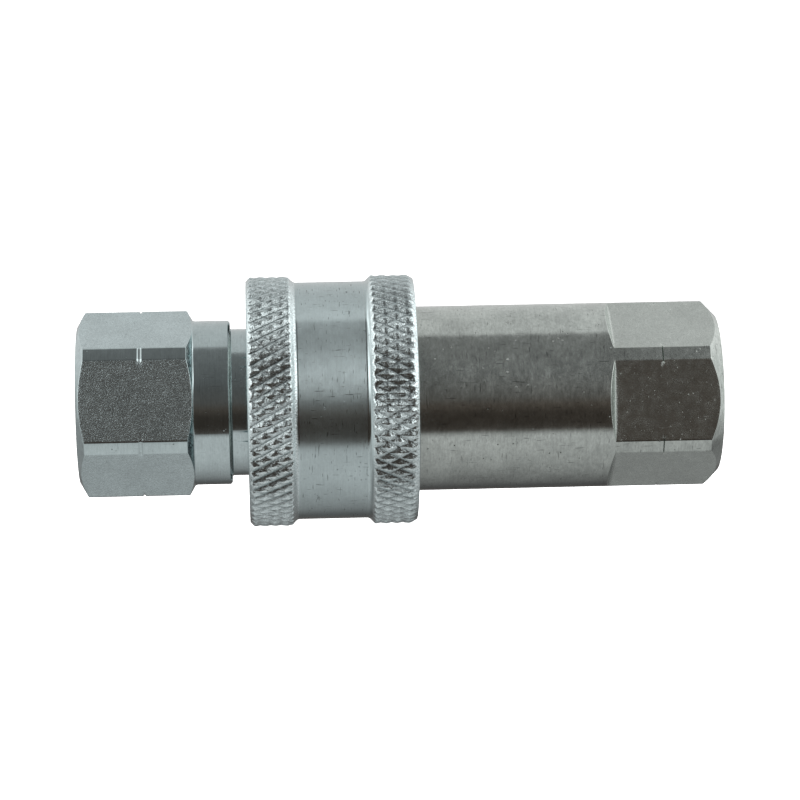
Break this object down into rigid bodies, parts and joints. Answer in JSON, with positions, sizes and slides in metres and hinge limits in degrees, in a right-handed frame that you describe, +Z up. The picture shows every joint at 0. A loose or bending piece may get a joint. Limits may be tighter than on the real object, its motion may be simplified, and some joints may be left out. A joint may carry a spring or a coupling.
{
  "type": "quick disconnect coupler",
  "caption": "Ball-lock hydraulic quick disconnect coupler with its nipple plugged in, knurled sliding sleeve, poppet valves and hexagon ends with female pipe threads.",
  "frame": {"origin": "on the coupler's axis, half way between the two port faces", "axes": "+X along the coupler's axis, from the nipple's port to the coupler body's port; +Z up; the pictured side faces -Y"},
  "size_m": [0.0844, 0.0332, 0.0332],
  "materials": {
    "zinc_plated_steel": "bright zinc plate, satin",
    "turned_steel": "turned",
    "spring_steel": "drawn wire",
    "ball_steel": "polished",
    "seal_rubber": "moulded",
    "backup_plastic": "smooth"
  },
  "bodies": {
    "coupler_body": {"coupler_body": "zinc_plated_steel", "coupler_valve_guide": "turned_steel", "coupler_guide_retaining_ring": "spring_steel", "coupler_valve_spring": "spring_steel", "sleeve_retaining_ring": "spring_steel", "sleeve_spring_washer": "turned_steel"},
    "coupler_poppet": {"coupler_poppet": "turned_steel", "coupler_poppet_seal": "seal_rubber"},
    "sleeve_spring": {"sleeve_spring": "spring_steel"},
    "sleeve": {"sleeve": "zinc_plated_steel"},
    "lock_ball_1": {"lock_ball_1": "ball_steel"},
    "lock_ball_2": {"lock_ball_2": "ball_steel"},
    "lock_ball_3": {"lock_ball_3": "ball_steel"},
    "lock_ball_4": {"lock_ball_4": "ball_steel"},
    "lock_ball_5": {"lock_ball_5": "ball_steel"},
    "lock_ball_6": {"lock_ball_6": "ball_steel"},
    "lock_ball_7": {"lock_ball_7": "ball_steel"},
    "lock_ball_8": {"lock_ball_8": "ball_steel"},
    "probe_seal": {"probe_seal_o_ring": "seal_rubber", "probe_backup_ring": "backup_plastic"},
    "nipple": {"nipple_body": "zinc_plated_steel", "nipple_valve_guide": "turned_steel", "nipple_guide_retaining_ring": "spring_steel", "nipple_valve_spring": "spring_steel"},
    "nipple_poppet": {"nipple_poppet": "turned_steel", "nipple_poppet_seal": "seal_rubber"}
  },
  "joints": [
    {"name": "sleeve_slide", "type": "slide", "parent": "sleeve_spring", "child": "sleeve", "axis": [1, 0, 0], "range_m": [0, 0.0045], "stiffness_N_per_m": 2000, "springref_m": -0.004, "deforming": ["sleeve_spring"]},
    {"name": "sleeve_spin", "type": "hinge", "parent": "coupler_body", "child": "sleeve_spring", "pos_m": [0, 0, 0], "axis": [1, 0, 0], "continuous": true},
    {"name": "lock_ball_1_lift", "type": "slide", "parent": "coupler_body", "child": "lock_ball_1", "axis": [0, 0, -1], "range_m": [0, 0.00095]},
    {"name": "lock_ball_2_lift", "type": "slide", "parent": "coupler_body", "child": "lock_ball_2", "axis": [0, 0.7071, -0.7071], "range_m": [0, 0.00095]},
    {"name": "lock_ball_3_lift", "type": "slide", "parent": "coupler_body", "child": "lock_ball_3", "axis": [0, 1, 0], "range_m": [0, 0.00095]},
    {"name": "lock_ball_4_lift", "type": "slide", "parent": "coupler_body", "child": "lock_ball_4", "axis": [0, 0.7071, 0.7071], "range_m": [0, 0.00095]},
    {"name": "lock_ball_5_lift", "type": "slide", "parent": "coupler_body", "child": "lock_ball_5", "axis": [0, 0, 1], "range_m": [0, 0.00095]},
    {"name": "lock_ball_6_lift", "type": "slide", "parent": "coupler_body", "child": "lock_ball_6", "axis": [0, -0.7071, 0.7071], "range_m": [0, 0.00095]},
    {"name": "lock_ball_7_lift", "type": "slide", "parent": "coupler_body", "child": "lock_ball_7", "axis": [0, -1, 0], "range_m": [0, 0.00095]},
    {"name": "lock_ball_8_lift", "type": "slide", "parent": "coupler_body", "child": "lock_ball_8", "axis": [0, -0.7071, -0.7071], "range_m": [0, 0.00095]},
    {"name": "nipple_swivel", "type": "hinge", "parent": "coupler_body", "child": "probe_seal", "pos_m": [0, 0, 0], "axis": [1, 0, 0], "continuous": true},
    {"name": "nipple_release", "type": "slide", "parent": "probe_seal", "child": "nipple", "axis": [-1, 0, 0], "range_m": [0, 0.034], "deforming": ["lock_ball_1", "lock_ball_2", "lock_ball_3", "lock_ball_4", "lock_ball_5", "lock_ball_6", "lock_ball_7", "lock_ball_8"]},
    {"name": "nipple_poppet_slide", "type": "slide", "parent": "nipple", "child": "nipple_poppet", "axis": [1, 0, 0], "range_m": [0, 0.003], "deforming": ["nipple_valve_spring"]},
    {"name": "coupler_poppet_slide", "type": "slide", "parent": "coupler_body", "child": "coupler_poppet", "axis": [-1, 0, 0], "range_m": [0, 0.003], "deforming": ["coupler_valve_spring"]}
  ],
  "couplings": [
    {"joint": "lock_ball_1_lift", "follows": "sleeve_slide", "ratio": 0.2111},
    {"joint": "lock_ball_2_lift", "follows": "sleeve_slide", "ratio": 0.2111},
    {"joint": "lock_ball_3_lift", "follows": "sleeve_slide", "ratio": 0.2111},
    {"joint": "lock_ball_4_lift", "follows": "sleeve_slide", "ratio": 0.2111},
    {"joint": "lock_ball_5_lift", "follows": "sleeve_slide", "ratio": 0.2111},
    {"joint": "lock_ball_6_lift", "follows": "sleeve_slide", "ratio": 0.2111},
    {"joint": "lock_ball_7_lift", "follows": "sleeve_slide", "ratio": 0.2111},
    {"joint": "lock_ball_8_lift", "follows": "sleeve_slide", "ratio": 0.2111},
    {"joint": "nipple_poppet_slide", "follows": "nipple_release", "ratio": 0.0882},
    {"joint": "coupler_poppet_slide", "follows": "nipple_release", "ratio": 0.0882}
  ]
}
